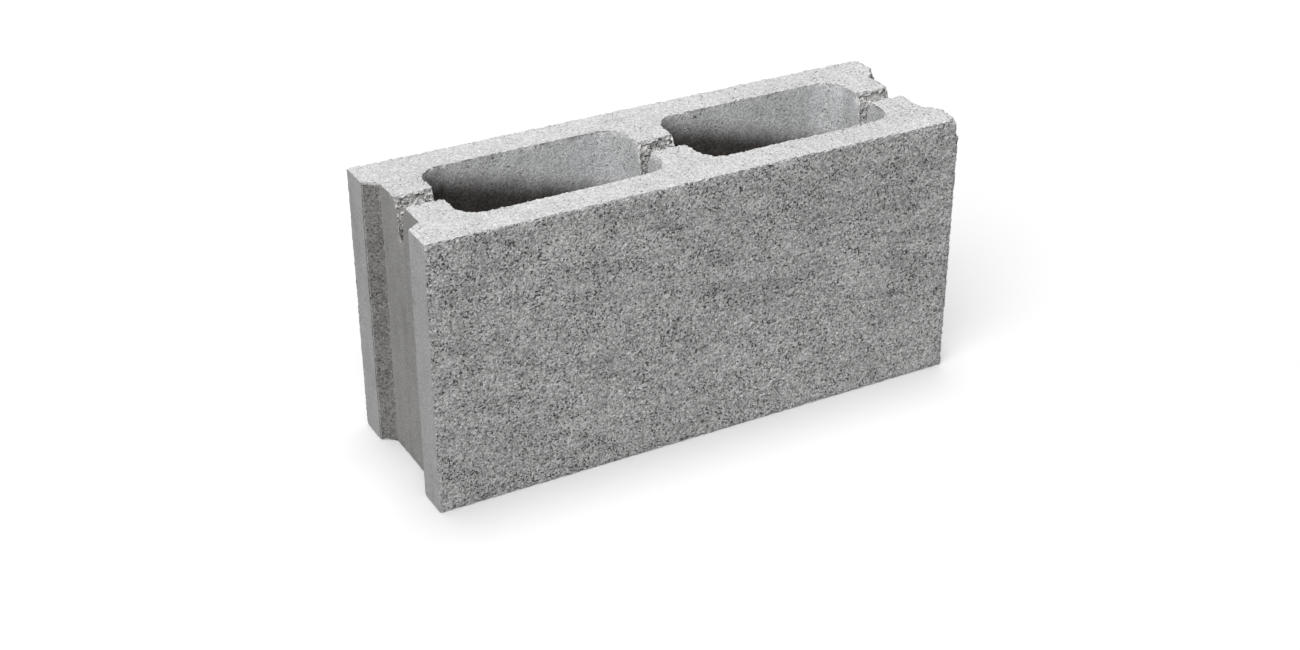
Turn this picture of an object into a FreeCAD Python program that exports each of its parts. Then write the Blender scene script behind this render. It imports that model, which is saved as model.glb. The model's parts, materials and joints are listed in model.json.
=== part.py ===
"""A hollow concrete building block, pressed in one piece.

It stands as it was pressed: two tapering cells run through it from bed to bed, a shallow mortar
groove runs down each end, and a slot crosses the top of both end walls and of the centre web,
where the bar that held the cores was. X runs along the block, Y through it from face to face
and Z up. The origin is at the centre of the lower bed. All sizes are in millimetres and degrees.
"""

import FreeCAD, Part
import math
import os

import Sketcher

Vector = FreeCAD.Vector

# One row for each driving dimension: its alias, its value and what it measures.
DIMENSIONS = (
    ("block_length", 440.0, "outer length, lip to lip"),
    ("block_width", 140.0, "outer width, face to face"),
    ("block_height", 215.0, "height, bed to bed"),
    ("face_shell", 28.0, "long wall beside the cells, at the top"),
    ("end_wall", 30.0, "end wall between groove floor and cell, at the top"),
    ("centre_web", 31.0, "wall between the two cells, at the top"),
    ("cell_corner", 19.0, "radius of a cell's upright corners, at the top"),
    ("cell_draft", 1.0, "taper of the cells, which narrow downwards, in degrees"),
    ("groove_depth", 11.0, "depth of the groove in each end"),
    ("groove_lip", 27.5, "flat lip on each side of the groove"),
    ("groove_side", 7.0, "width that each sloping side of the groove takes up"),
    ("slot_width", 16.0, "width of the slot at the top"),
    ("slot_throat", 9.0, "width of the slot where its sloping mouth ends"),
    ("slot_shoulder", 9.0, "depth of the slot's sloping mouth"),
    ("slot_root", 2.0, "radius of the slot's rounded root"),
    ("slot_depth", 32.0, "full depth of the slot"),
    ("cut_overrun", 2.0, "how far each cut runs past the face that it opens"),
)
NODE = "hollow_block"


def make_sheet(doc):
    """Writes the driving dimensions to a spreadsheet, each with its alias."""
    sheet = doc.addObject("Spreadsheet::Sheet", "dims")
    for row, (alias, value, meaning) in enumerate(DIMENSIONS, start=1):
        sheet.set(f"A{row}", meaning)
        sheet.set(f"B{row}", str(value))
        sheet.setAlias(f"B{row}", alias)
    doc.recompute()
    return sheet


def origin_plane(body, role):
    """The body's own origin plane with that role, such as XY_Plane."""
    return next(f for f in body.Origin.OriginFeatures if f.Role == role)


def sketch_on(body, role, name):
    """A new, empty sketch on one of the body's origin planes."""
    sketch = body.newObject("Sketcher::SketchObject", name)
    sketch.AttachmentSupport = [(origin_plane(body, role), "")]
    sketch.MapMode = "FlatFace"
    return sketch


def add_lines(sketch, points):
    """Adds one straight edge from each point to the next and returns their indices."""
    ends = [Vector(x, y, 0) for x, y in points]
    return [sketch.addGeometry(Part.LineSegment(a, b)) for a, b in zip(ends, ends[1:])]


def join_ends(sketch, edges, closed=True):
    """Makes each edge start where the one before it ends."""
    following = edges[1:] + edges[:1] if closed else edges[1:]
    for edge, after in zip(edges, following):
        sketch.addConstraint(Sketcher.Constraint("Coincident", edge, 2, after, 1))


def orient(sketch, kind, edges):
    """Makes each of the edges Horizontal or Vertical."""
    for edge in edges:
        sketch.addConstraint(Sketcher.Constraint(kind, edge))


def mirror_ends(sketch, edge, axis):
    """Makes an edge's two ends mirror images about a sketch axis, -1 across and -2 upright.

    The edge then lies square to that axis, so it takes no Horizontal or Vertical as well.
    """
    sketch.addConstraint(Sketcher.Constraint("Symmetric", edge, 1, edge, 2, axis))


def drive(sketch, name, constraint, expression):
    """Adds a dimension to a sketch and binds it to the spreadsheet."""
    index = sketch.addConstraint(constraint)
    sketch.renameConstraint(index, name)
    sketch.setExpression(f"Constraints.{name}", expression)


def draw_outline(body, sheet):
    """The plain rectangle that the block fills, centred on the origin."""
    half_length = sheet.block_length / 2
    half_width = sheet.block_width / 2
    sketch = sketch_on(body, "XY_Plane", "outline")
    front, right, back, left = edges = add_lines(
        sketch,
        [
            (-half_length, -half_width),
            (half_length, -half_width),
            (half_length, half_width),
            (-half_length, half_width),
            (-half_length, -half_width),
        ],
    )
    join_ends(sketch, edges)
    orient(sketch, "Horizontal", (back,))
    orient(sketch, "Vertical", (left,))
    mirror_ends(sketch, front, -2)
    mirror_ends(sketch, right, -1)
    along = Sketcher.Constraint("DistanceX", front, 1, front, 2, 2 * half_length)
    drive(sketch, "length", along, "dims.block_length")
    across = Sketcher.Constraint("DistanceY", right, 1, right, 2, 2 * half_width)
    drive(sketch, "width", across, "dims.block_width")
    return sketch


def draw_groove(body, sheet):
    """The groove of the -X end in plan: a floor, two sloping sides and a run past the lips."""
    mouth = sheet.block_width / 2 - sheet.groove_lip
    floor = mouth - sheet.groove_side
    lip_x = -sheet.block_length / 2
    floor_x = lip_x + sheet.groove_depth
    open_x = lip_x - sheet.cut_overrun
    sketch = sketch_on(body, "XY_Plane", "groove_plan")
    outside, lower_run, lower_side, floor_edge, upper_side, upper_run = edges = add_lines(
        sketch,
        [
            (open_x, mouth),
            (open_x, -mouth),
            (lip_x, -mouth),
            (floor_x, -floor),
            (floor_x, floor),
            (lip_x, mouth),
            (open_x, mouth),
        ],
    )
    join_ends(sketch, edges)
    orient(sketch, "Horizontal", (lower_run, upper_run))
    mirror_ends(sketch, outside, -1)
    mirror_ends(sketch, floor_edge, -1)
    sketch.addConstraint(Sketcher.Constraint("Equal", lower_run, upper_run))
    mouth_width = Sketcher.Constraint("DistanceY", outside, 2, outside, 1, 2 * mouth)
    drive(sketch, "mouth", mouth_width, "dims.block_width - 2 * dims.groove_lip")
    floor_width = Sketcher.Constraint("DistanceY", floor_edge, 1, floor_edge, 2, 2 * floor)
    drive(sketch, "floor", floor_width, "dims.block_width - 2 * (dims.groove_lip + dims.groove_side)")
    lip_place = Sketcher.Constraint("DistanceX", lower_side, 1, -1, 1, -lip_x)
    drive(sketch, "lip_place", lip_place, "dims.block_length / 2")
    depth = Sketcher.Constraint("DistanceX", lower_side, 1, lower_side, 2, sheet.groove_depth)
    drive(sketch, "depth", depth, "dims.groove_depth")
    overrun = Sketcher.Constraint("DistanceX", lower_run, 1, lower_run, 2, sheet.cut_overrun)
    drive(sketch, "overrun", overrun, "dims.cut_overrun")
    return sketch


def draw_cell(body, sheet):
    """The -X cell where it opens in the top bed: a rectangle with four round corners."""
    radius = sheet.cell_corner
    near = -sheet.centre_web / 2
    far = -(sheet.block_length / 2 - sheet.groove_depth - sheet.end_wall)
    half = sheet.block_width / 2 - sheet.face_shell
    sketch = sketch_on(body, "XY_Plane", "cell_plan")
    sketch.setExpression(".AttachmentOffset.Base.z", "dims.block_height")
    corners = (
        (near, -half, -1, 1, 270),
        (near, half, -1, -1, 0),
        (far, half, 1, -1, 90),
        (far, -half, 1, 1, 180),
    )
    arcs = []
    for x, y, in_x, in_y, start in corners:
        centre = Vector(x + in_x * radius, y + in_y * radius, 0)
        circle = Part.Circle(centre, Vector(0, 0, 1), radius)
        sweep = (math.radians(start), math.radians(start + 90))
        arcs.append(sketch.addGeometry(Part.ArcOfCircle(circle, *sweep)))
    sides = []
    for arc, after in zip(arcs, arcs[1:] + arcs[:1]):
        start = sketch.getPoint(arc, 2)
        end = sketch.getPoint(after, 1)
        side = sketch.addGeometry(Part.LineSegment(start, end))
        sketch.addConstraint(Sketcher.Constraint("Tangent", arc, 2, side, 1))
        sketch.addConstraint(Sketcher.Constraint("Tangent", side, 2, after, 1))
        sides.append(side)
    web_side, back_side, end_side, front_side = sides
    orient(sketch, "Vertical", (end_side,))
    orient(sketch, "Horizontal", (back_side, front_side))
    mirror_ends(sketch, web_side, -1)
    for arc in arcs[1:]:
        sketch.addConstraint(Sketcher.Constraint("Equal", arcs[0], arc))
    drive(sketch, "corner", Sketcher.Constraint("Radius", arcs[0], radius), "dims.cell_corner")
    web_place = Sketcher.Constraint("DistanceX", web_side, 1, -1, 1, -near)
    drive(sketch, "web_place", web_place, "dims.centre_web / 2")
    end_place = Sketcher.Constraint("DistanceX", end_side, 1, -1, 1, -far)
    drive(sketch, "end_place", end_place, "dims.block_length / 2 - dims.groove_depth - dims.end_wall")
    shell_place = Sketcher.Constraint("DistanceY", front_side, 1, -1, 1, half)
    drive(sketch, "shell_place", shell_place, "dims.block_width / 2 - dims.face_shell")
    return sketch


def draw_slot(body, sheet):
    """The slot's section across the block: a sloping mouth, then a narrow taper to a round root."""
    half = sheet.slot_width / 2
    throat = sheet.slot_throat / 2
    root = sheet.slot_root
    top = sheet.block_height
    centre = Vector(0, top - sheet.slot_depth + root, 0)
    shoulder = top - sheet.slot_shoulder
    opening = top + sheet.cut_overrun
    sketch = sketch_on(body, "YZ_Plane", "slot_section")
    left_taper, left_slope, left_rise, mouth, right_rise, right_slope, right_taper = edges = add_lines(
        sketch,
        [
            (-root, centre.y),
            (-throat, shoulder),
            (-half, top),
            (-half, opening),
            (half, opening),
            (half, top),
            (throat, shoulder),
            (root, centre.y),
        ],
    )
    join_ends(sketch, edges, closed=False)
    root_circle = Part.Circle(centre, Vector(0, 0, 1), root)
    root_arc = sketch.addGeometry(Part.ArcOfCircle(root_circle, math.pi, 2 * math.pi))
    sketch.addConstraint(Sketcher.Constraint("Coincident", root_arc, 1, left_taper, 1))
    sketch.addConstraint(Sketcher.Constraint("Coincident", root_arc, 2, right_taper, 2))
    sketch.addConstraint(Sketcher.Constraint("PointOnObject", root_arc, 3, -2))
    orient(sketch, "Vertical", (left_rise, right_rise))
    mirror_ends(sketch, mouth, -2)
    sketch.addConstraint(Sketcher.Constraint("Equal", left_rise, right_rise))
    sketch.addConstraint(Sketcher.Constraint("Symmetric", left_slope, 1, right_slope, 2, -2))
    for end in (1, 2):
        sketch.addConstraint(Sketcher.Constraint("Horizontal", root_arc, end, root_arc, 3))
    drive(sketch, "root", Sketcher.Constraint("Radius", root_arc, root), "dims.slot_root")
    width = Sketcher.Constraint("DistanceX", mouth, 1, mouth, 2, 2 * half)
    drive(sketch, "width", width, "dims.slot_width")
    throat_width = Sketcher.Constraint("DistanceX", left_slope, 1, right_slope, 2, 2 * throat)
    drive(sketch, "throat_width", throat_width, "dims.slot_throat")
    mouth_place = Sketcher.Constraint("DistanceY", -1, 1, mouth, 1, opening)
    drive(sketch, "mouth_place", mouth_place, "dims.block_height + dims.cut_overrun")
    top_place = Sketcher.Constraint("DistanceY", -1, 1, left_rise, 1, top)
    drive(sketch, "top_place", top_place, "dims.block_height")
    shoulder_place = Sketcher.Constraint("DistanceY", -1, 1, left_slope, 1, shoulder)
    drive(sketch, "shoulder_place", shoulder_place, "dims.block_height - dims.slot_shoulder")
    root_place = Sketcher.Constraint("DistanceY", -1, 1, root_arc, 3, centre.y)
    drive(sketch, "root_place", root_place, "dims.block_height - dims.slot_depth + dims.slot_root")
    return sketch


def cut(body, sketch, name, **settings):
    """Adds a Pocket of the sketch to the body."""
    pocket = body.newObject("PartDesign::Pocket", name)
    pocket.Profile = sketch
    pocket.Type = "Length"
    for setting, value in settings.items():
        setattr(pocket, setting, value)
    return pocket


def mirror_over_middle(body, feature, name):
    """Repeats a feature on the other side of the block's middle plane."""
    mirrored = body.newObject("PartDesign::Mirrored", name)
    mirrored.Originals = [feature]
    mirrored.MirrorPlane = (origin_plane(body, "YZ_Plane"), "")
    body.Tip = mirrored  # the body doesn't make this kind of feature its tip by itself
    return mirrored


def make_block(doc, sheet):
    """The block as one PartDesign body, and its features in the order that they are built."""
    body = doc.addObject("PartDesign::Body", NODE)
    body.Label = NODE
    body.Placement = FreeCAD.Placement()

    solid = body.newObject("PartDesign::Pad", "solid")
    solid.Profile = draw_outline(body, sheet)
    solid.setExpression("Length", "dims.block_height")

    groove = cut(body, draw_groove(body, sheet), "groove", Reversed=True)
    groove.setExpression("Length", "dims.block_height + dims.cut_overrun")
    grooves = mirror_over_middle(body, groove, "grooves")

    cell = cut(body, draw_cell(body, sheet), "cell")
    cell.setExpression("Length", "dims.block_height + dims.cut_overrun")
    cell.setExpression("TaperAngle", "-dims.cell_draft")
    cells = mirror_over_middle(body, cell, "cells")

    slot = cut(body, draw_slot(body, sheet), "slot", Midplane=True)
    slot.setExpression("Length", "dims.block_length + 2 * dims.cut_overrun")
    return body, (solid, groove, grooves, cell, cells, slot)


def check_document(doc, features):
    """Stops the build if anything failed, is not a valid solid or cut nothing away."""
    for thing in doc.Objects:
        if "Invalid" in thing.State or "Error" in thing.State:
            raise RuntimeError(f"{thing.Label} failed: {thing.State}")
    for feature in features:
        if feature.Shape.isNull() or not feature.Shape.isValid():
            raise RuntimeError(f"{feature.Label} has no valid shape")
        if len(feature.Shape.Solids) != 1:
            raise RuntimeError(f"{feature.Label} leaves {len(feature.Shape.Solids)} solids, not one")
    for before, after in zip(features, features[1:]):
        if after.Shape.Volume >= before.Shape.Volume:
            raise RuntimeError(f"{after.Label} cuts nothing away")


def main():
    """Builds the block, checks it and writes its STEP file."""
    doc = FreeCAD.newDocument("hollow_block")
    sheet = make_sheet(doc)
    body, features = make_block(doc, sheet)
    doc.recompute()
    check_document(doc, features)
    os.makedirs("parts", exist_ok=True)
    body.Shape.exportStep(os.path.join("parts", body.Label + ".step"))
    litres = body.Shape.Volume / 1e6
    box = body.Shape.BoundBox
    print(f"{body.Label}: {box.XLength:.1f} x {box.YLength:.1f} x {box.ZLength:.1f} mm, {litres:.3f} l")


main()
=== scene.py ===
"""The looks of a hollow concrete block, built around its CAD model.

The block is modelled as it is made: a pressed box, grooved at both ends, cored by two tapering
cores and crossed by the bar that held them. Its arrises are then chipped and worn, and each of
its surfaces gets the relief and the finish that its side of the mould leaves; the finishes of the
cells, the end grooves and the pits also hold painted shade. Metres throughout.
"""

import enum
import json
import logging
import math
import random
from dataclasses import dataclass, field
from typing import Callable, Iterable, Sequence

import bpy
import numpy as np
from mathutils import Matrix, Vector

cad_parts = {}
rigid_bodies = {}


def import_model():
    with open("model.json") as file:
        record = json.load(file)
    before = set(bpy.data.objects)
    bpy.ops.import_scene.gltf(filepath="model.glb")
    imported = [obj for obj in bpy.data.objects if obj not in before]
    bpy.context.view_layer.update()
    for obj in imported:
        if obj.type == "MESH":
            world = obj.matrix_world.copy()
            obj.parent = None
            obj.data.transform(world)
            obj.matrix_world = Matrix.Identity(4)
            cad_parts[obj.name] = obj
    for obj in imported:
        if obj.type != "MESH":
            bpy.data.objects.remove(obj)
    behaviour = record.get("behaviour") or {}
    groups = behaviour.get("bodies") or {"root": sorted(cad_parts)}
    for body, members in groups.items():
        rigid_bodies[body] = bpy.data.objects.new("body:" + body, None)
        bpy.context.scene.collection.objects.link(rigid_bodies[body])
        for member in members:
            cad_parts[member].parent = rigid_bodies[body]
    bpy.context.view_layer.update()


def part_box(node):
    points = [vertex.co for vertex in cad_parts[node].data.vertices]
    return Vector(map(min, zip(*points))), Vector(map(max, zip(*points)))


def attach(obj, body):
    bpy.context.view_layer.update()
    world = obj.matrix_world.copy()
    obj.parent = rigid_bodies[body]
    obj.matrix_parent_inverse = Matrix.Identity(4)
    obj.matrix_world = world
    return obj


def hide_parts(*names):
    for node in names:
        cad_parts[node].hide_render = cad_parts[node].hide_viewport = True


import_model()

NODE = "hollow_block"
BODY = "root"
MM = 0.001
log = logging.getLogger("hollow_block")


class Side(enum.Enum):
    """The kinds of surface that the mould leaves on the block."""

    FACE = 0
    BED = 1
    HEAD = 2
    SLOPE = 3
    CELL = 4
    BREAK = 5
    FLOOR = 6


# ---------------------------------------------------------------- modelling by hand


def deselect_all() -> None:
    """Leaves nothing selected, as the loaded CAD node is selected at first."""
    if bpy.context.mode != "OBJECT":
        bpy.ops.object.mode_set(mode="OBJECT")
    bpy.ops.object.select_all(action="DESELECT")


def make_active(piece: bpy.types.Object) -> None:
    """Selects one object alone and makes it the active one.

    Args:
        piece: The object to work on.
    """
    deselect_all()
    piece.select_set(True)
    bpy.context.view_layer.objects.active = piece


def settle(piece: bpy.types.Object, name: str) -> bpy.types.Object:
    """Names a new object and moves its place, turn and scale into its mesh.

    Args:
        piece: The object that was just added.
        name: Its name, and its mesh's.

    Returns:
        The same object, now at the origin, unturned and unscaled.
    """
    make_active(piece)
    bpy.ops.object.transform_apply(location=True, rotation=True, scale=True)
    piece.name = piece.data.name = name
    return piece


def add_box(name: str, low: Sequence[float], high: Sequence[float]) -> bpy.types.Object:
    """Adds a box between two corners.

    Args:
        name: The new object's name.
        low: Its lowest corner.
        high: Its highest corner.

    Returns:
        The box, with its place in its mesh.
    """
    deselect_all()
    middle = [(a + b) / 2 for a, b in zip(low, high)]
    size = [b - a for a, b in zip(low, high)]
    bpy.ops.mesh.primitive_cube_add(size=1, location=middle, scale=size)
    return settle(bpy.context.object, name)


def choose_points(piece: bpy.types.Object, test: Callable[[Vector], bool]) -> None:
    """Opens a mesh for editing with only the points that pass a test selected.

    Args:
        piece: The object to edit.
        test: Says of a point's place whether it is chosen.
    """
    make_active(piece)
    bpy.ops.object.mode_set(mode="EDIT")
    bpy.ops.mesh.select_mode(type="VERT")
    bpy.ops.mesh.select_all(action="DESELECT")
    bpy.ops.object.mode_set(mode="OBJECT")
    for point in piece.data.vertices:
        point.select = test(point.co)
    bpy.ops.object.mode_set(mode="EDIT")


def choose_edges(piece: bpy.types.Object, test: Callable[[Vector, Vector], bool]) -> None:
    """Opens a mesh for editing with only the edges that pass a test selected.

    Args:
        piece: The object to edit.
        test: Says of an edge's two ends whether the edge is chosen.
    """
    make_active(piece)
    bpy.ops.object.mode_set(mode="EDIT")
    bpy.ops.mesh.select_mode(type="EDGE")
    bpy.ops.mesh.select_all(action="DESELECT")
    bpy.ops.object.mode_set(mode="OBJECT")
    places = [point.co for point in piece.data.vertices]
    for edge in piece.data.edges:
        edge.select = test(places[edge.vertices[0]], places[edge.vertices[1]])
    bpy.ops.object.mode_set(mode="EDIT")


def slice_at(piece: bpy.types.Object, axis: int, places: Iterable[float]) -> None:
    """Cuts a row of edges round a mesh at each of several places along an axis.

    Args:
        piece: The object to slice.
        axis: 0, 1 or 2 for X, Y or Z.
        places: Where the cuts go.
    """
    normal = [float(axis == i) for i in range(3)]
    make_active(piece)
    bpy.ops.object.mode_set(mode="EDIT")
    for place in places:
        bpy.ops.mesh.select_all(action="SELECT")
        bpy.ops.mesh.bisect(plane_co=[n * place for n in normal], plane_no=normal)
    bpy.ops.object.mode_set(mode="OBJECT")


def apply_modifier(piece: bpy.types.Object, kind: str, **settings: object) -> None:
    """Adds a modifier to an object, sets it and applies it.

    Args:
        piece: The object to change.
        kind: The modifier's type.
        **settings: Its properties.
    """
    make_active(piece)
    modifier = piece.modifiers.new(kind.title(), kind)
    for key, value in settings.items():
        setattr(modifier, key, value)
    bpy.ops.object.modifier_apply(modifier=modifier.name)


def cut_away(piece: bpy.types.Object, tool: bpy.types.Object) -> None:
    """Cuts one shape out of another and throws the cutting shape away.

    Args:
        piece: The object that stays.
        tool: The object that is cut out of it.
    """
    apply_modifier(piece, "BOOLEAN", operation="DIFFERENCE", object=tool, solver="EXACT")
    log.info("after %s: %d points", tool.name, len(piece.data.vertices))
    bpy.data.objects.remove(tool)


def join(pieces: Sequence[bpy.types.Object], name: str) -> bpy.types.Object:
    """Joins several objects into the first.

    Args:
        pieces: The objects, at least one.
        name: The joined object's name.

    Returns:
        The joined object.
    """
    make_active(pieces[0])
    for piece in pieces:
        piece.select_set(True)
    bpy.ops.object.join()
    pieces[0].name = pieces[0].data.name = name
    return pieces[0]


def apart(pieces: Iterable[bpy.types.Object]) -> list[list[bpy.types.Object]]:
    """Shares objects out so that no two boxes in one share meet.

    Args:
        pieces: The objects, each with its place in its mesh.

    Returns:
        The shares.
    """
    shares: list[tuple[list[bpy.types.Object], list[tuple[np.ndarray, np.ndarray]]]] = []
    for piece in pieces:
        places = places_of(piece.data)
        low, high = places.min(axis=0), places.max(axis=0)
        for members, boxes in shares:
            if all((low > b).any() or (high < a).any() for a, b in boxes):
                break
        else:
            members, boxes = [], []
            shares.append((members, boxes))
        members.append(piece)
        boxes.append((low, high))
    return [members for members, _ in shares]


def places_of(mesh: bpy.types.Mesh) -> np.ndarray:
    """The mesh's points, one row each."""
    found = np.empty(len(mesh.vertices) * 3)
    mesh.vertices.foreach_get("co", found)
    return found.reshape(-1, 3)


def weigh(piece: bpy.types.Object, name: str, weights: np.ndarray, steps: int = 20) -> None:
    """Makes a vertex group whose weights say how strongly a change works at each point.

    Args:
        piece: The object that gets the group.
        name: The group's name.
        weights: One weight for each point, from 0 to 1.
        steps: How many different weights are kept apart.
    """
    group = piece.vertex_groups.new(name=name)
    levels = np.rint(np.clip(weights, 0, 1) * steps).astype(int)
    for level in range(1, steps + 1):
        group.add(np.nonzero(levels == level)[0].tolist(), level / steps, "REPLACE")


@dataclass(frozen=True)
class Relief:
    """Noise that is pressed into one group of a mesh's points, and never raises them.

    A high contrast makes dark parts differ hard from bright ones, a high brightness leaves more of
    the surface bright, and so unpressed, and depth is how far black is pressed in.
    """

    group: str
    name: str
    size: float
    basis: str
    contrast: float
    brightness: float
    depth: float

    def press(self, piece: bpy.types.Object) -> None:
        """Presses the relief in.

        Args:
            piece: The object to change.
        """
        texture = bpy.data.textures.new(self.name, "CLOUDS")
        texture.noise_scale = self.size
        texture.noise_basis = self.basis
        texture.noise_depth = 1
        texture.contrast = self.contrast
        texture.intensity = self.brightness
        apply_modifier(
            piece, "DISPLACE", texture=texture, texture_coords="LOCAL", direction="NORMAL",
            mid_level=1.0, strength=self.depth, vertex_group=self.group,
        )


SOFT, GRAINY = "BLENDER_ORIGINAL", "VORONOI_F2_F1"
RELIEFS = (
    Relief("whole", "sag", 38 * MM, SOFT, 1.5, 1.0, 0.5 * MM),
    Relief("arrises", "loss", 5.5 * MM, SOFT, 2.6, 1.0, 1.5 * MM),
    Relief("arrises", "crumbs", 1.8 * MM, GRAINY, 1.6, 0.9, 0.7 * MM),
    Relief("faces", "open_grain", 1.6 * MM, GRAINY, 1.6, 1.1, 0.16 * MM),
    Relief("faces", "face_pits", 2.2 * MM, SOFT, 4.0, 2.0, 0.6 * MM),
    Relief("beds", "bed_grain", 2.0 * MM, GRAINY, 1.2, 1.3, 0.2 * MM),
    Relief("beds", "bed_pits", 2.4 * MM, SOFT, 4.5, 2.0, 0.9 * MM),
    Relief("smooth", "skin", 4.0 * MM, SOFT, 2.0, 1.2, 0.12 * MM),
    Relief("torn", "rubble", 2.4 * MM, GRAINY, 2.2, 0.9, 1.9 * MM),
)


# ---------------------------------------------------------------- finishes


class Pattern:
    """The nodes of one material, on the coordinates of the object itself."""

    def __init__(self, name: str) -> None:
        """Starts a material.

        Args:
            name: Its name.
        """
        self.material = bpy.data.materials.new(name)
        self.material.use_nodes = True
        self.nodes = self.material.node_tree.nodes
        self.links = self.material.node_tree.links
        self.shader = self.nodes["Principled BSDF"]
        self.place = self.nodes.new("ShaderNodeTexCoord").outputs["Object"]

    def add(self, kind: str, **inputs: object) -> bpy.types.Node:
        """Adds a node.

        Args:
            kind: Its type.
            **inputs: What goes into its sockets, by name, with _ for a space: a link or a value.

        Returns:
            The node.
        """
        node = self.nodes.new(kind)
        for key, value in inputs.items():
            socket = node.inputs[key.replace("_", " ")]
            if isinstance(value, bpy.types.NodeSocket):
                self.links.new(value, socket)
            else:
                socket.default_value = value
        return node

    def stretched(self, stretch: Sequence[float]) -> bpy.types.NodeSocket:
        """The object's coordinates, drawn out along the axes by these factors."""
        mapping = self.add("ShaderNodeMapping", Vector=self.place, Scale=[1 / s for s in stretch])
        return mapping.outputs["Vector"]

    def noise(
        self, size: float, detail: float = 2.0, stretch: Sequence[float] = (1, 1, 1)
    ) -> bpy.types.NodeSocket:
        """Soft noise from 0 to 1.

        Args:
            size: The size of its largest features.
            detail: How many finer layers it has.
            stretch: How far it is drawn out along each axis.

        Returns:
            The value.
        """
        vector = self.place if tuple(stretch) == (1, 1, 1) else self.stretched(stretch)
        return self.add("ShaderNodeTexNoise", Vector=vector, Scale=1 / size, Detail=detail).outputs["Fac"]

    def grains(self, size: float) -> tuple[bpy.types.NodeSocket, bpy.types.NodeSocket]:
        """Packed grains.

        Args:
            size: The size of one grain.

        Returns:
            How far each place is from its grain's middle, and a number of that grain's own.
        """
        node = self.add("ShaderNodeTexVoronoi", Vector=self.place, Scale=1 / size)
        own = self.add("ShaderNodeSeparateColor", Color=node.outputs["Color"])
        return node.outputs["Distance"], own.outputs["Red"]

    def span(
        self, value: object, start: float, stop: float, low: float, high: float
    ) -> bpy.types.NodeSocket:
        """Carries a value smoothly from one range to another.

        Args:
            value: What is carried over.
            start: The value that gives low.
            stop: The value that gives high.
            low: The result at start.
            high: The result at stop.

        Returns:
            The result, never outside low and high.
        """
        node = self.add(
            "ShaderNodeMapRange", Value=value, From_Min=start, From_Max=stop, To_Min=low, To_Max=high
        )
        node.interpolation_type = "SMOOTHSTEP"
        return node.outputs["Result"]

    def vary(
        self, value: object, source: object, start: float, stop: float, low: float, high: float
    ) -> bpy.types.NodeSocket:
        """Multiplies a value by what a source gives when span carries it over."""
        return self.math("MULTIPLY", value, self.span(source, start, stop, low, high))

    def centred(self, source: object, width: float) -> bpy.types.NodeSocket:
        """Carries noise from 0 to 1 over to a band of a width, half below nought and half above."""
        return self.math("MULTIPLY", self.math("SUBTRACT", source, 0.5), width)

    def math(self, operation: str, a: object, b: object) -> bpy.types.NodeSocket:
        """Works out one number from two."""
        node = self.nodes.new("ShaderNodeMath")
        node.operation = operation
        for socket, value in zip(node.inputs, (a, b)):
            if isinstance(value, bpy.types.NodeSocket):
                self.links.new(value, socket)
            else:
                socket.default_value = value
        return node.outputs["Value"]

    def blend(self, factor: object, a: object, b: object) -> bpy.types.NodeSocket:
        """Goes from colour a to colour b as the factor goes from 0 to 1."""
        node = self.nodes.new("ShaderNodeMix")
        node.data_type = "RGBA"
        for socket, value in ((node.inputs[0], factor), (node.inputs[6], a), (node.inputs[7], b)):
            if isinstance(value, bpy.types.NodeSocket):
                self.links.new(value, socket)
            else:
                socket.default_value = value
        return node.outputs[2]

    def shade(self, colour: object, value: bpy.types.NodeSocket) -> bpy.types.NodeSocket:
        """Multiplies a colour by a number."""
        node = self.nodes.new("ShaderNodeVectorMath")
        node.operation = "SCALE"
        if isinstance(colour, bpy.types.NodeSocket):
            self.links.new(colour, node.inputs[0])
        else:
            node.inputs[0].default_value = colour[:3]
        self.links.new(value, node.inputs["Scale"])
        return node.outputs["Vector"]


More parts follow.
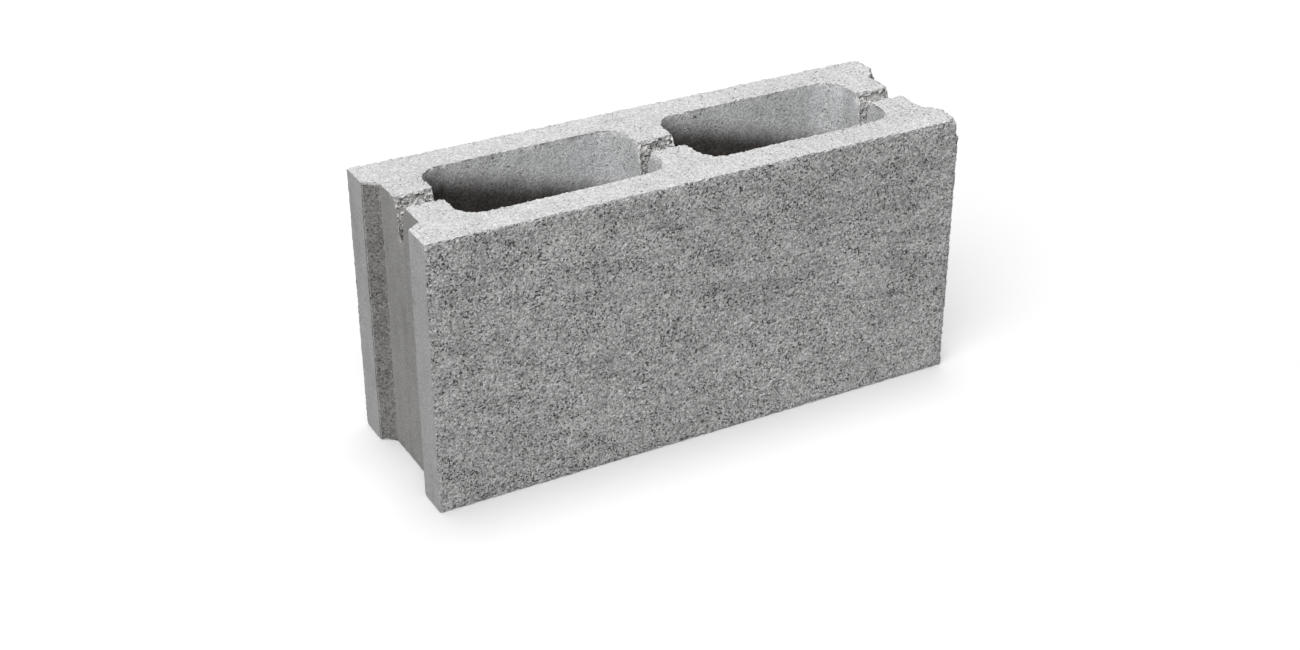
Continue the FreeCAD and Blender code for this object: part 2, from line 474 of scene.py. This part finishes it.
@dataclass(frozen=True)
class Concrete:
    """How concrete looks on one side of the mould.

    A contrast or a depth is a share of the tone, and a start is the noise below which a pit opens.
    The shade values paint shade into the cells, standing in for the shadow inside the cores. It starts
    between its start and stop depths below the mouth at a cell's left end, and a fall further down for
    each metre along it, so that its edge slants like a cast shadow, down to a full dark at its full depth.
    """

    name: str
    tone: tuple[float, float, float]
    blotch: float = 0.08
    streak: float = 0.0
    streak_stretch: tuple[float, float, float] = (6, 6, 1)
    grain_size: float = 2.3 * MM
    grain_contrast: float = 0.16
    sand_contrast: float = 0.10
    seam: float = 0.15
    pit_size: float = 2.2 * MM
    pit_start: float = 0.36
    # The pits' dark tone is partly dirt in them and partly painted shade in the holes.
    pit_dirt_and_shade_tone: tuple[float, float, float] = (0.10, 0.098, 0.095)
    end_pits: float = 0.0
    speck_share: float = 0.012
    relief: float = 0.5
    roughness: float = 0.93
    # Painted shade in the cells: how dark it gets, and where and how it falls.
    painted_shade: float = 0.0
    painted_shade_deep: float = 0.86
    painted_shade_tone: tuple[float, float, float] = (0.056, 0.048, 0.042)
    painted_shade_start: float = -8 * MM
    painted_shade_stop: float = 18 * MM
    painted_shade_fall: float = 0.28
    painted_shade_shallow: float = 50 * MM
    painted_shade_full: float = 150 * MM
    painted_shade_rag: float = 10 * MM
    mouth_height: float = 215 * MM
    cell_start: float = 179 * MM
    cell_pitch: float = 194.5 * MM
    cloud_size: float = 70 * MM
    patch_size: float = 16 * MM
    row_size: float = 11 * MM
    sand_size: float = 0.9 * MM
    speck_size: float = 3.1 * MM
    speck_tone: tuple[float, float, float] = (0.86, 0.86, 0.85)
    crowding: float = 0.2
    pit_edge: float = 0.07
    pits_from: float = -120 * MM
    pits_to: float = 200 * MM
    bump_depth: float = 0.9 * MM
    sheen: float = 0.25

    def material(self) -> bpy.types.Material:
        """Builds the material.

        Returns:
            Blotches, streaks, grains, sand, pits darkened partly with painted shade, a few bright grains
            and, in the cells, painted shade, with relief to match.
        """
        look = Pattern(self.name)
        parts = look.add("ShaderNodeSeparateXYZ", Vector=look.place).outputs
        slow = look.noise(self.cloud_size, 3.0)
        patchy = look.noise(self.patch_size, 2.0)
        fine_blotch = self.blotch * 0.7
        value = look.span(slow, 0.3, 0.7, 1 - self.blotch, 1 + self.blotch)
        value = look.vary(value, patchy, 0.3, 0.7, 1 - fine_blotch, 1 + fine_blotch)
        if self.streak:
            rows = look.noise(self.row_size, 2.0, self.streak_stretch)
            value = look.vary(value, rows, 0.3, 0.6, 1 - self.streak, 1.0)
        from_middle, own = look.grains(self.grain_size)
        value = look.vary(value, own, 0.0, 1.0, 1 - self.grain_contrast, 1 + self.grain_contrast)
        value = look.vary(value, from_middle, 0.45, 0.8, 1.0, 1 - self.seam)
        sand = look.noise(self.sand_size, 1.0)
        value = look.vary(value, sand, 0.25, 0.75, 1 - self.sand_contrast, 1 + self.sand_contrast)
        pit = self.pits(look, patchy, parts["X"])
        # Pits take a dark tone: partly the dirt in them, partly painted shade in the holes.
        colour = look.blend(pit, look.shade(self.tone, value), (*self.pit_dirt_and_shade_tone, 1))
        colour = look.blend(self.specks(look), colour, (*self.speck_tone, 1))
        # Painted shade: the cells darken to a dark warm tone below a slanted line, for the shadow inside
        # the cores.
        if self.painted_shade:
            painted_shade_colour = look.shade(self.painted_shade_tone, look.math("MULTIPLY", value, value))
            colour = look.blend(self.painted_shade_amount(look, patchy, parts), colour, painted_shade_colour)
        look.links.new(colour, look.shader.inputs["Base Color"])

        height = look.math("MULTIPLY", look.span(from_middle, 0.0, 0.8, 1.0, 0.0), 0.55)
        height = look.math("ADD", height, look.math("MULTIPLY", sand, 0.45))
        height = look.math("SUBTRACT", height, look.math("MULTIPLY", pit, 1.1))
        bump = look.add("ShaderNodeBump", Strength=self.relief, Distance=self.bump_depth, Height=height)
        look.links.new(bump.outputs["Normal"], look.shader.inputs["Normal"])
        rough = look.span(sand, 0.2, 0.8, self.roughness - 0.06, min(1.0, self.roughness + 0.06))
        look.links.new(rough, look.shader.inputs["Roughness"])
        look.shader.inputs["Specular IOR Level"].default_value = self.sheen
        return look.material

    def pits(
        self, look: Pattern, patchy: bpy.types.NodeSocket, along: bpy.types.NodeSocket
    ) -> bpy.types.NodeSocket:
        """Opens the pits, which crowd together in patches and towards the worn end.

        Args:
            look: The material that is being built.
            patchy: The noise that crowds them.
            along: The place along the block.

        Returns:
            1 in a pit and 0 outside.
        """
        holes = look.noise(self.pit_size, 1.5)
        holes = look.math("ADD", holes, look.centred(patchy, self.crowding))
        if self.end_pits:
            worn = look.span(along, self.pits_from, self.pits_to, 0.0, -self.end_pits)
            holes = look.math("ADD", holes, worn)
        return look.span(holes, self.pit_start, self.pit_start - self.pit_edge, 0.0, 1.0)

    def specks(self, look: Pattern) -> bpy.types.NodeSocket:
        """Picks out a few bright grains.

        Args:
            look: The material that is being built.

        Returns:
            1 on a bright grain and 0 elsewhere.
        """
        from_middle, own = look.grains(self.speck_size)
        few = look.span(own, 1 - self.speck_share, 1 - self.speck_share * 0.8, 0.0, 1.0)
        return look.vary(few, from_middle, 0.34, 0.22, 0.0, 1.0)

    def painted_shade_amount(
        self, look: Pattern, patchy: bpy.types.NodeSocket, parts: Sequence[bpy.types.NodeSocket]
    ) -> bpy.types.NodeSocket:
        """Paints shade into the cells from a slanted, ragged line downwards, for the shadow inside the
        cores.

        Args:
            look: The material that is being built.
            patchy: The noise that makes the line ragged.
            parts: The place's X, Y and Z.

        Returns:
            How much painted shade each place gets, from 0 to 1.
        """
        along = look.math("MODULO", look.math("ADD", parts["X"], self.cell_start), self.cell_pitch)
        below = look.math("SUBTRACT", self.mouth_height, parts["Z"])
        slanted = look.math("SUBTRACT", below, look.math("MULTIPLY", along, self.painted_shade_fall))
        ragged = look.math("ADD", slanted, look.centred(patchy, self.painted_shade_rag))
        depth = look.span(ragged, self.painted_shade_start, self.painted_shade_stop, 0.0, self.painted_shade)
        return look.vary(depth, below, self.painted_shade_shallow, self.painted_shade_full, 1.0, self.painted_shade_deep)


FINISHES = {
    Side.FACE: Concrete(
        "open_face_concrete", (0.615, 0.61, 0.607), blotch=0.06, streak=0.14, grain_size=1.35 * MM,
        grain_contrast=0.32, sand_contrast=0.22, seam=0.24, pit_size=1.6 * MM, pit_start=0.412,
        pit_dirt_and_shade_tone=(0.085, 0.082, 0.08), relief=0.42,
    ),
    Side.BED: Concrete(
        "struck_bed_concrete", (0.585, 0.585, 0.585), blotch=0.04, grain_size=1.6 * MM, grain_contrast=0.14,
        sand_contrast=0.13, seam=0.12, pit_size=1.9 * MM, pit_start=0.345, pit_dirt_and_shade_tone=(0.14, 0.136, 0.13),
        end_pits=0.035, speck_share=0.02, relief=0.45,
    ),
    Side.HEAD: Concrete(
        "smooth_lip_concrete", (0.52, 0.52, 0.52), blotch=0.04, streak=0.06, streak_stretch=(1, 1, 12),
        grain_size=1.5 * MM, grain_contrast=0.09, sand_contrast=0.14, seam=0.07, pit_size=1.5 * MM,
        pit_start=0.29, pit_dirt_and_shade_tone=(0.2, 0.195, 0.19), speck_share=0.004, relief=0.35,
    ),
    # The groove floor: the lips' concrete in a darker tone, which is painted shade for the near lip's
    # shadow in the groove.
    Side.FLOOR: Concrete(
        "groove_floor_painted_shade", (0.395, 0.39, 0.38), blotch=0.05, streak=0.10, streak_stretch=(1, 1, 14),
        grain_size=1.5 * MM, grain_contrast=0.09, sand_contrast=0.14, seam=0.07, pit_size=1.5 * MM,
        pit_start=0.29, pit_dirt_and_shade_tone=(0.15, 0.145, 0.14), speck_share=0.004, relief=0.35,
    ),
    # The groove sides: rougher, more pitted concrete, with a far darker tone that is partly painted shade
    # from the recess.
    Side.SLOPE: Concrete(
        "rough_groove_side_and_painted_shade", (0.285, 0.28, 0.27), blotch=0.05, streak=0.08, streak_stretch=(1, 1, 6),
        grain_size=1.4 * MM, grain_contrast=0.24, sand_contrast=0.18, seam=0.2, pit_size=1.5 * MM,
        pit_start=0.40, pit_dirt_and_shade_tone=(0.08, 0.078, 0.075), relief=0.4,
    ),
    # The cored walls: a paler tone, partly their smoother cored skin and partly painted light on the far
    # walls, with painted shade deeper in.
    Side.CELL: Concrete(
        "cored_wall_painted_light_and_shade", (0.74, 0.745, 0.755), blotch=0.04, streak=0.08, streak_stretch=(1, 1, 10),
        grain_size=1.5 * MM, grain_contrast=0.18, sand_contrast=0.18, seam=0.14, pit_size=1.6 * MM,
        pit_start=0.355, pit_dirt_and_shade_tone=(0.13, 0.127, 0.125), speck_share=0.008, relief=0.4, painted_shade=0.97,
    ),
    Side.BREAK: Concrete(
        "broken_concrete", (0.60, 0.595, 0.59), blotch=0.10, grain_size=1.8 * MM, grain_contrast=0.25,
        sand_contrast=0.15, seam=0.25, pit_size=2.0 * MM, pit_start=0.42, pit_dirt_and_shade_tone=(0.09, 0.087, 0.084),
        speck_share=0.01, relief=0.5,
    ),
}


# ---------------------------------------------------------------- the block


@dataclass(frozen=True)
class Cell:
    """One of the two hollows, where it opens in the top bed."""

    middle: float
    half_length: float
    half_width: float
    corner: float
    draft: float

    def gap(self, places: np.ndarray, top: float) -> np.ndarray:
        """How far each point lies outside the cell's wall.

        Args:
            places: The points, one row each.
            top: The height at which the cell has its full size.

        Returns:
            One distance each, negative inside the cell.
        """
        narrowing = (top - places[:, 2]) * math.tan(self.draft)
        over_x = np.abs(places[:, 0] - self.middle) - (self.half_length - narrowing - self.corner)
        over_y = np.abs(places[:, 1]) - (self.half_width - narrowing - self.corner)
        outside = np.hypot(np.maximum(over_x, 0), np.maximum(over_y, 0))
        return outside + np.minimum(np.maximum(over_x, over_y), 0) - self.corner


@dataclass
class Block:
    """The pressed block, from its plain box to its worn surface."""

    low: Vector
    high: Vector
    face_shell: float = 28 * MM
    end_wall: float = 30 * MM
    centre_web: float = 31 * MM
    cell_corner: float = 19 * MM
    cell_draft: float = math.radians(1.0)
    groove_depth: float = 11 * MM
    groove_lip: float = 27.5 * MM
    groove_side: float = 7 * MM
    slot_width: float = 16 * MM
    slot_throat: float = 9 * MM
    slot_shoulder: float = 9 * MM
    slot_root: float = 2 * MM
    slot_depth: float = 32 * MM
    worn_corner: float = 14 * MM
    overrun: float = 4 * MM
    grain: float = 1.0 * MM
    torn_depth: float = 2.4 * MM
    arris_reach: float = 2.2 * MM
    rim_reach: float = 3 * MM
    most_triangles: int = 194_000
    crease: float = math.radians(38)
    sideways: float = 0.42
    upright: float = 0.5
    chip_depth: float = 1.2 * MM
    break_depth: float = 1.0 * MM
    bed_reach: float = 2 * MM
    slot_border: float = 3 * MM
    scar_length: float = 12 * MM
    seed: int = 5
    piece: bpy.types.Object = field(init=False)

    @property
    def half_length(self) -> float:
        """Half of the block's length."""
        return (self.high.x - self.low.x) / 2

    @property
    def half_width(self) -> float:
        """Half of the block's width."""
        return (self.high.y - self.low.y) / 2

    @property
    def mouth(self) -> float:
        """Half of an end groove's width between its lips."""
        return self.half_width - self.groove_lip

    @property
    def cells(self) -> tuple[Cell, Cell]:
        """The two cells, left and right."""
        near = self.centre_web / 2
        far = self.half_length - self.groove_depth - self.end_wall
        sizes = ((far - near) / 2, self.half_width - self.face_shell, self.cell_corner, self.cell_draft)
        return Cell(-(near + far) / 2, *sizes), Cell((near + far) / 2, *sizes)

    def press(self) -> None:
        """Makes the plain box, presses the grooves into its ends and rounds off its worn corner."""
        self.piece = add_box("hollow_block_cast", self.low, self.high)
        floor = self.mouth - self.groove_side
        slice_at(self.piece, 1, (-self.mouth, -floor, floor, self.mouth))
        reach = self.grain / 10
        for side in (-1, 1):
            end = side * self.half_length
            choose_points(self.piece, lambda p: abs(p.x - end) < reach and abs(p.y) < floor + reach)
            bpy.ops.transform.translate(value=(-side * self.groove_depth, 0, 0))
            bpy.ops.object.mode_set(mode="OBJECT")
        corner = Vector((self.half_length, -self.half_width, self.high.z))
        choose_points(self.piece, lambda p: (p - corner).length < reach)
        bpy.ops.mesh.bevel(offset=self.worn_corner, segments=4, affect="VERTICES")
        bpy.ops.object.mode_set(mode="OBJECT")

    def core(self, cell: Cell) -> bpy.types.Object:
        """Makes the tapering core that leaves one cell.

        Args:
            cell: The cell's place and size.

        Returns:
            The core, which runs past both beds.
        """
        bottom, top = self.low.z - self.overrun, self.high.z + self.overrun
        half = (cell.half_length, cell.half_width)
        core = add_box(
            "core",
            (cell.middle - half[0], -half[1], bottom),
            (cell.middle + half[0], half[1], top),
        )
        choose_edges(core, lambda a, b: abs(a.z - b.z) > self.overrun)
        bpy.ops.mesh.bevel(offset=cell.corner, segments=10, affect="EDGES")
        for height in (bottom, top):
            narrowing = (self.high.z - height) * math.tan(cell.draft)
            choose_points(core, lambda p: abs(p.z - height) < self.overrun / 2)
            bpy.ops.transform.resize(
                value=(1 - narrowing / half[0], 1 - narrowing / half[1], 1),
                center_override=(cell.middle, 0, height),
            )
            bpy.ops.object.mode_set(mode="OBJECT")
        return core

    def slot_half(self, depth: float) -> float:
        """Half of the slot's width at a depth below the top."""
        depths = (0, self.slot_shoulder, self.slot_depth)
        return float(np.interp(depth, depths, (self.slot_width / 2, self.slot_throat / 2, self.slot_root)))

    def core_bar(self) -> bpy.types.Object:
        """Makes the bar that leaves the slot across the top: a sloping mouth and a tapering root."""
        half, top = self.slot_width / 2, self.high.z
        reach = self.half_length + self.overrun
        bar = add_box("core_bar", (-reach, -half, top), (reach, half, top + self.overrun))
        make_active(bar)
        bpy.ops.object.mode_set(mode="EDIT")
        bpy.ops.mesh.select_mode(type="FACE")
        bpy.ops.mesh.select_all(action="DESELECT")
        bpy.ops.object.mode_set(mode="OBJECT")
        for face in bar.data.polygons:
            face.select = face.normal.z < -0.5
        bpy.ops.object.mode_set(mode="EDIT")
        for start, stop in ((0, self.slot_shoulder), (self.slot_shoulder, self.slot_depth)):
            bpy.ops.mesh.extrude_region_move(TRANSFORM_OT_translate={"value": (0, 0, start - stop)})
            bpy.ops.transform.resize(value=(1, self.slot_half(stop) / self.slot_half(start), 1))
        bpy.ops.object.mode_set(mode="OBJECT")
        root = top - (self.slot_shoulder + self.slot_depth) / 2
        choose_edges(bar, lambda a, b: max(a.z, b.z) < root and abs(a.x - b.x) > reach)
        bpy.ops.mesh.bevel(offset=self.slot_root * 0.6, segments=3, affect="EDGES")
        bpy.ops.object.mode_set(mode="OBJECT")
        return bar

    def stone(self, dice: random.Random, place: Sequence[float], size: Sequence[float]) -> bpy.types.Object:
        """Makes a rough lump, which leaves a chip or a torn hole when it is cut away.

        Args:
            dice: Where its turn and its roughness come from.
            place: Its middle.
            size: Its half sizes along X, Y and Z.

        Returns:
            The lump.
        """
        deselect_all()
        bpy.ops.mesh.primitive_ico_sphere_add(subdivisions=2, radius=1, location=place, scale=size)
        lump = settle(bpy.context.object, "stone")
        choose_points(lump, lambda p: True)
        bpy.ops.transform.vertex_random(offset=min(size) * 0.3, seed=dice.randrange(10_000))
        bpy.ops.object.mode_set(mode="OBJECT")
        return lump

    def stones(self) -> list[bpy.types.Object]:
        """Makes the lumps that chip the arrises and tear the slot's sides.

        Returns:
            The lumps, joined into objects in which no two lumps touch.
        """
        dice = random.Random(self.seed)
        top, length, width = self.high.z, self.half_length, self.half_width
        wall = length - self.groove_depth
        lumps = []

        def knock(x: float, y: float, z: float, *size: float) -> None:
            """Adds a lump at a place, with its half sizes in millimetres."""
            lumps.append(self.stone(dice, (x, y, z), [s * MM for s in size]))

        # The right end, which is the worn one: its far lip, its groove and its near corner.
        knock(length + 1 * MM, width, top + 1 * MM, 6, 3, 3)
        knock(length, self.mouth, top, 6, 5, 6)
        knock(wall + 3 * MM, self.mouth - 12 * MM, top + 2 * MM, 5, 9, 4)
        knock(wall + 2 * MM, -self.mouth + 16 * MM, top + 2 * MM, 4, 8, 4)
        knock(length, -self.mouth, top + 1 * MM, 4, 5, 4)
        knock(length + 1 * MM, -width, top - 9 * MM, 3, 4, 5)
        knock(length + 1 * MM, -width + 13 * MM, top + 1.5 * MM, 3.5, 8, 3)
        # The slot's mouths, where the bar tore the edges as it was drawn.
        for cell in self.cells:
            for side in (-1, 1):
                rim = cell.middle + side * cell.half_length
                for edge in (-1, 1):
                    spread = dice.uniform(2.5, 4.5) * (1.2 if side < 0 else 0.9)
                    knock(rim, edge * self.slot_width / 2, top, spread, 2.6, dice.uniform(2.5, 4.5))
        for end in (-1, 1):
            for edge in (-1, 1):
                knock(end * (wall + 1 * MM), edge * self.slot_width / 2, top, 3, 2.4, dice.uniform(2.5, 4))
        # The slot's own sides and root, torn all along.
        for start, stop in ((-wall, -wall + self.end_wall), (-self.centre_web / 2, self.centre_web / 2),
                            (wall - self.end_wall, wall)):
            place = start
            while place < stop:
                for edge in (-1, 1):
                    depth = dice.uniform(1, 26) * MM
                    side = edge * (self.slot_half(depth) + 0.3 * MM)
                    sizes = [dice.uniform(*span) for span in ((1.4, 3.0), (1.0, 2.2), (1.4, 3.0))]
                    knock(place, side, top - depth, *sizes)
                    rim, size = edge * (self.slot_width / 2 + 0.4 * MM), dice.uniform(1.0, 2.4)
                    knock(place, rim, top + 0.2 * MM, size * 1.2, size, size)
                place += dice.uniform(1.8, 3.4) * MM
        # The upright edges of the slot where it opens in a groove or a cell, and the torn strip
        # below it.
        openings = [-wall, wall]
        openings += [cell.middle + side * cell.half_length for cell in self.cells for side in (-1, 1)]
        for opening in openings:
            depth = 2 * MM
            while depth < self.slot_depth + 3 * MM:
                half = self.slot_half(depth)
                for edge in (-1, 1):
                    size = dice.uniform(0.9, 2.0) * (1 - 0.35 * depth / self.slot_depth)
                    side = edge * (half + dice.uniform(0, 1) * MM)
                    knock(opening, side, top - depth, size, size * 1.1, size * 1.3)
                depth += dice.uniform(2.0, 3.6) * MM
        # Small losses along the long arrises, top and bottom.
        for height in (top, self.low.z):
            for face in (-width, width):
                place = -length
                while place < length:
                    size = dice.uniform(0.9, 2.1)
                    lean = 0.4 * size * MM
                    knock(place, face + math.copysign(lean, face), height + (lean if height else -lean),
                          size * dice.uniform(1.0, 2.4), size, size * dice.uniform(0.7, 1.1))
                    place += dice.uniform(9, 24) * MM
        log.info("stones: %d lumps", len(lumps))
        batches = apart(lumps)
        return [join(batch, f"stones_{i}") for i, batch in enumerate(batches)]

    def hollow_out(self) -> None:
        """Draws the cores and the bar, and knocks the chips off."""
        for cell in self.cells:
            cut_away(self.piece, self.core(cell))
        cut_away(self.piece, self.core_bar())
        for stones in self.stones():
            cut_away(self.piece, stones)

    def drop_crumbs(self) -> None:
        """Throws away whatever the chips have cut loose from the block."""
        web, skin = self.centre_web / 4, self.low.z + self.grain
        choose_points(self.piece, lambda p: p.z < skin and abs(p.x) < web)
        bpy.ops.mesh.select_linked()
        bpy.ops.mesh.select_all(action="INVERT")
        bpy.ops.mesh.delete(type="VERT")
        bpy.ops.object.mode_set(mode="OBJECT")

    def depths(self, places: np.ndarray) -> np.ndarray:
        """How deep each point lies under each of the plain surfaces that the mould leaves.

        Args:
            places: The points, one row each.

        Returns:
            One row for each point: its depth under a face, an end, the top, the bottom and a cell.
        """
        across = np.abs(places[:, 1])
        floor = self.mouth - self.groove_side
        wall = self.half_length - self.groove_depth
        end = np.interp(across, (floor, self.mouth), (wall, self.half_length))
        cell = np.minimum(*(cell.gap(places, self.high.z) for cell in self.cells))
        return np.stack(
            (
                self.half_width - across,
                end - np.abs(places[:, 0]),
                self.high.z - places[:, 2],
                places[:, 2] - self.low.z,
                cell,
            ),
            axis=1,
        )

    def wear(self) -> None:
        """Gives each kind of surface its relief, always inwards."""
        apply_modifier(self.piece, "REMESH", mode="VOXEL", voxel_size=self.grain)
        self.drop_crumbs()
        places = places_of(self.piece.data)
        depths = self.depths(places)
        nearest = np.argmin(depths, axis=1)
        ranked = np.sort(depths, axis=1)
        torn = np.clip(ranked[:, 0] / self.torn_depth, 0, 1)
        arris = np.exp(-((ranked[:, 1] / self.arris_reach) ** 2))
        sound = 1 - torn
        across = np.abs(places[:, 1])
        ramp = (across > self.mouth - self.groove_side) & (across < self.mouth)
        open_face = (nearest == 0) | ((nearest == 1) & ramp)
        # The arrises crumble more towards the right end, and hardly at all round the cells.
        rough_end = np.clip((places[:, 0] - 0.6 * self.half_length) / (0.4 * self.half_length), 0, 1)
        worn = np.where(depths[:, 4] < self.rim_reach, 0.12, 0.22 + 0.4 * rough_end)
        groups = {
            "whole": np.ones(len(places)),
            "faces": sound * open_face * np.where(ramp, 0.5, 1.0),
            "beds": sound * ((nearest == 2) | (nearest == 3)),
            "smooth": sound * ((nearest == 4) | ((nearest == 1) & ~ramp)),
            "torn": torn,
            "arrises": arris * worn,
        }
        for name, weights in groups.items():
            weigh(self.piece, name, weights)
        for relief in RELIEFS:
            relief.press(self.piece)
        self.piece.vertex_groups.clear()
        self.keep_inside()
        log.info("worn: %d points", len(places))

    def keep_inside(self) -> None:
        """Moves any point that stands out of the plain block's box back to it."""
        mesh = self.piece.data
        mesh.vertices.foreach_set("co", np.clip(places_of(mesh), self.low, self.high).ravel())
        mesh.update()

    def thin_out(self) -> None:
        """Takes triangles away where the surface is plain, until few enough are left."""
        apply_modifier(self.piece, "TRIANGULATE")
        count = len(self.piece.data.polygons)
        apply_modifier(self.piece, "DECIMATE", ratio=min(1.0, self.most_triangles / count))
        self.keep_inside()
        make_active(self.piece)
        bpy.ops.object.shade_smooth_by_angle(angle=self.crease)
        log.info("thinned from %d to %d triangles", count, len(self.piece.data.polygons))

    def dress(self) -> None:
        """Gives each face the finish of its side of the mould, some with painted shade."""
        mesh = self.piece.data
        count = len(mesh.polygons)
        middles, normals = np.empty(count * 3), np.empty(count * 3)
        mesh.polygons.foreach_get("center", middles)
        mesh.polygons.foreach_get("normal", normals)
        middles, normals = middles.reshape(-1, 3), normals.reshape(-1, 3)
        depths = self.depths(middles)
        nearest = np.argmin(depths, axis=1)
        order = {side: i for i, side in enumerate(Side)}
        by_surface = (Side.FACE, Side.HEAD, Side.BED, Side.BED, Side.CELL)
        slots = np.array([order[side] for side in by_surface])[nearest]
        across, under, height = np.abs(middles[:, 1]), depths.min(axis=1), self.high.z - middles[:, 2]
        # The end grooves: their floors, and their sides, by place and by the way they face, both darkened
        # with painted shade.
        floor = self.mouth - self.groove_side
        slots[(nearest == 1) & (across < self.mouth - self.groove_side / 2)] = order[Side.FLOOR]
        border, core = 2 * MM, 1.5 * MM
        near_ramp = (across > floor - border) & (across < self.mouth + border)
        near_ramp &= np.abs(normals[:, 1]) > self.sideways
        inner_ramp = (across > floor + core) & (across < self.mouth - core)
        slots[(nearest == 1) & (near_ramp | inner_ramp)] = order[Side.SLOPE]
        # The beds, and the chips that face up.
        near_bed = np.minimum(depths[:, 2], depths[:, 3]) < self.bed_reach
        slots[near_bed & (np.abs(normals[:, 2]) > self.upright)] = order[Side.BED]
        slots[(under > self.chip_depth) & (normals[:, 2] > 0.2)] = order[Side.BED]
        # The torn slot.
        in_slot = across < self.slot_width / 2 + self.slot_border
        in_slot &= height < self.slot_depth + self.scar_length
        slots[(under > self.break_depth) & in_slot] = order[Side.BREAK]
        for side in Side:
            mesh.materials.append(FINISHES[side].material())
        mesh.polygons.foreach_set("material_index", slots.astype(np.int32))
        mesh.update()

    def build(self) -> bpy.types.Object:
        """Makes the block from start to end.

        Returns:
            The finished piece.
        """
        self.press()
        self.hollow_out()
        self.wear()
        self.thin_out()
        self.dress()
        return self.piece


# ---------------------------------------------------------------- the studio


@dataclass(frozen=True)
class Lamp:
    """A soft lamp, far away."""

    name: str
    comes_from: tuple[float, float, float]
    strength: float
    spread: float

    def hang(self) -> None:
        """Hangs the lamp."""
        deselect_all()
        bpy.ops.object.light_add(type="SUN")
        lamp = bpy.context.object
        lamp.name = self.name
        lamp.data.energy = self.strength
        lamp.data.angle = self.spread
        lamp.rotation_euler = Vector(self.comes_from).to_track_quat("Z", "Y").to_euler()


@dataclass(frozen=True)
class Studio:
    """A pale floor, soft light from the upper left and a camera above the block's left end."""

    camera_place: tuple[float, float, float] = (-0.652, -1.162, 0.801)
    camera_turn: float = math.radians(-28.93)
    camera_tilt: float = math.radians(60.97)
    lens: float = 54.47
    sensor: float = 36
    floor_size: float = 12.0
    floor_to_camera: float = 0.85
    floor_to_light: float = 0.22
    sky: float = 0.27
    lamps: tuple[Lamp, ...] = (
        Lamp("key_lamp", (-0.50, -0.46, 0.75), 2.05, math.radians(55)),
        Lamp("top_lamp", (0.03, 0.10, 0.99), 1.5, math.radians(24)),
    )

    def lay_floor(self) -> None:
        """Lays the floor, white to the camera and a mid grey to the light that it sends back up."""
        deselect_all()
        bpy.ops.mesh.primitive_plane_add(size=self.floor_size, location=(0, 0, 0))
        floor = settle(bpy.context.object, "studio_floor")
        material = bpy.data.materials.new("studio_floor")
        material.use_nodes = True
        nodes, links = material.node_tree.nodes, material.node_tree.links
        shader = nodes["Principled BSDF"]
        shader.inputs["Roughness"].default_value = 1.0
        shader.inputs["Specular IOR Level"].default_value = 0.0
        light_path = nodes.new("ShaderNodeLightPath")
        mix = nodes.new("ShaderNodeMix")
        mix.data_type = "RGBA"
        mix.inputs["A"].default_value = (*[self.floor_to_light] * 3, 1)
        mix.inputs["B"].default_value = (*[self.floor_to_camera] * 3, 1)
        links.new(light_path.outputs["Is Camera Ray"], mix.inputs["Factor"])
        links.new(mix.outputs["Result"], shader.inputs["Base Color"])
        floor.data.materials.append(material)

    def light(self) -> None:
        """Hangs the sky and the lamps."""
        world = bpy.data.worlds.new("studio_sky")
        bpy.context.scene.world = world
        world.use_nodes = True
        nodes, links = world.node_tree.nodes, world.node_tree.links
        background = nodes["Background"]
        background.inputs["Color"].default_value = (1, 1, 1, 1)
        light_path = nodes.new("ShaderNodeLightPath")
        seen = nodes.new("ShaderNodeMath")
        seen.operation = "MAXIMUM"
        links.new(light_path.outputs["Is Camera Ray"], seen.inputs[0])
        links.new(light_path.outputs["Is Glossy Ray"], seen.inputs[1])
        strength = nodes.new("ShaderNodeMix")
        strength.inputs["A"].default_value = self.sky
        strength.inputs["B"].default_value = 1.0
        links.new(seen.outputs["Value"], strength.inputs["Factor"])
        links.new(strength.outputs["Result"], background.inputs["Strength"])
        for lamp in self.lamps:
            lamp.hang()

    def place_camera(self) -> None:
        """Puts the camera up."""
        deselect_all()
        bpy.ops.object.camera_add(
            location=self.camera_place, rotation=(self.camera_tilt, 0, self.camera_turn)
        )
        camera = bpy.context.object
        camera.name = "studio_camera"
        camera.data.lens = self.lens
        camera.data.sensor_width = self.sensor
        bpy.context.scene.camera = camera

    def set_up(self) -> None:
        """Sets the whole studio up."""
        self.place_camera()
        self.lay_floor()
        self.light()
        bpy.context.scene.view_settings.view_transform = "Standard"


def main() -> None:
    """Builds the studio and the block."""
    logging.basicConfig(level=logging.INFO, format="%(name)s: %(message)s")
    Studio().set_up()
    block = Block(*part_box(NODE))
    piece = block.build()
    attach(piece, BODY)
    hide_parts(NODE)


if __name__ == "__main__":
    main()
